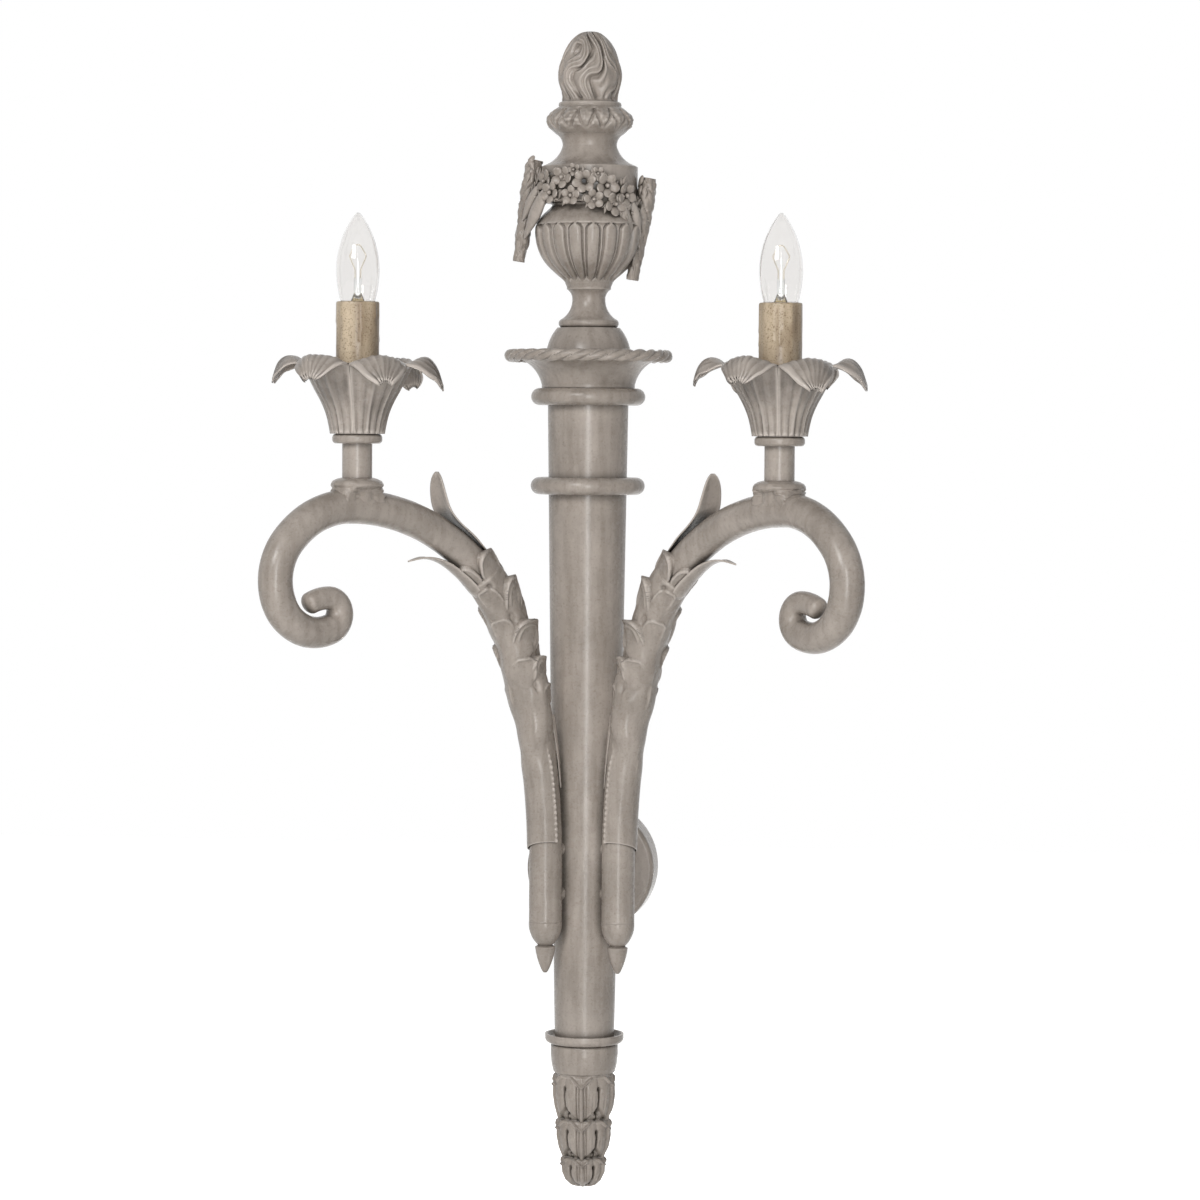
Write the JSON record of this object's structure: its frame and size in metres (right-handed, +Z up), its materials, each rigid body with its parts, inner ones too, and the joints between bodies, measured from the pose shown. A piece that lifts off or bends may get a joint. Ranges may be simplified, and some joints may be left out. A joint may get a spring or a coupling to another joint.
{
  "type": "double wall light",
  "caption": "Painted wall light: tapered column with a gadrooned urn and flame on top, a leaf pendant below, and scrolled leaf-sheathed arms holding candle lamps.",
  "frame": {"origin": "on the wall plane, midway between the strap's two wall screw holes, at the centre of the wall plate", "axes": "+Y into the wall, the front faces -Y; +Z up along the column; +X to the right when facing the light"},
  "size_m": [0.4842, 0.32, 0.9827],
  "materials": {
    "taupe_paint": "satin",
    "cast_leaf_paint": "satin with darkened hollows",
    "candle_sleeve": "speckled with small drips",
    "lamp_glass": "clear",
    "lamp_mount": "clear",
    "filament": "bare wire",
    "lamp_brass": "bright",
    "black_plastic": "matte",
    "white_plastic": "matte",
    "lead_cover": "matte",
    "plain_steel": "zinc plated",
    "dark_screw": "blackened"
  },
  "bodies": {
    "fixture": {"arm_spacers": "taupe_paint", "centre_contacts": "lamp_brass", "column": "taupe_paint", "column_top_plug": "plain_steel", "cup_nuts": "plain_steel", "flame_finial": "cast_leaf_paint", "flower_swag": "cast_leaf_paint", "foot_flange": "taupe_paint", "hollow_nipple": "plain_steel", "leaf_collar": "cast_leaf_paint", "leaf_pendant": "cast_leaf_paint", "left_arm_bud": "taupe_paint", "left_arm_tube": "taupe_paint", "left_base_collar": "taupe_paint", "left_candle_sleeve": "candle_sleeve", "left_candle_stem": "taupe_paint", "left_candle_stud": "plain_steel", "left_cup_collar": "taupe_paint", "left_lamp_lead": "lead_cover", "left_lampholder": "black_plastic", "left_leaf_cup": "cast_leaf_paint", "left_leaf_sheath": "cast_leaf_paint", "left_screw_shell": "lamp_brass", "middle_ring": "taupe_paint", "nipple_nuts": "plain_steel", "right_arm_bud": "taupe_paint", "right_arm_tube": "taupe_paint", "right_base_collar": "taupe_paint", "right_candle_sleeve": "candle_sleeve", "right_candle_stem": "taupe_paint", "right_candle_stud": "plain_steel", "right_cup_collar": "taupe_paint", "right_lamp_lead": "lead_cover", "right_lampholder": "black_plastic", "right_leaf_cup": "cast_leaf_paint", "right_leaf_sheath": "cast_leaf_paint", "right_screw_shell": "lamp_brass", "rope_dish": "taupe_paint", "rope_rim": "cast_leaf_paint", "saddle_washer": "plain_steel", "set_screws": "dark_screw", "side_screws": "taupe_paint", "standoff_sleeve": "taupe_paint", "terminal_block": "white_plastic", "tie_rod": "plain_steel", "upper_ring": "taupe_paint", "urn_bowl": "cast_leaf_paint", "urn_foot": "taupe_paint", "urn_shoulder": "taupe_paint", "wall_plate": "taupe_paint", "wall_strap": "plain_steel"},
    "left_lamp": {"left_lamp_cap": "lamp_brass", "left_lamp_glass": "lamp_glass", "left_lamp_mount": "lamp_mount", "left_lamp_filament": "filament"},
    "right_lamp": {"right_lamp_cap": "lamp_brass", "right_lamp_glass": "lamp_glass", "right_lamp_mount": "lamp_mount", "right_lamp_filament": "filament"}
  },
  "joints": [
    {"name": "left_lamp_turn", "type": "hinge", "parent": "fixture", "child": "left_lamp", "pos_m": [-0.17112, -0.24912, 0.47], "axis": [0, 0, 1], "range_deg": [0, 990]},
    {"name": "right_lamp_turn", "type": "hinge", "parent": "fixture", "child": "right_lamp", "pos_m": [0.17112, -0.24912, 0.47], "axis": [0, 0, 1], "range_deg": [0, 990]}
  ]
}
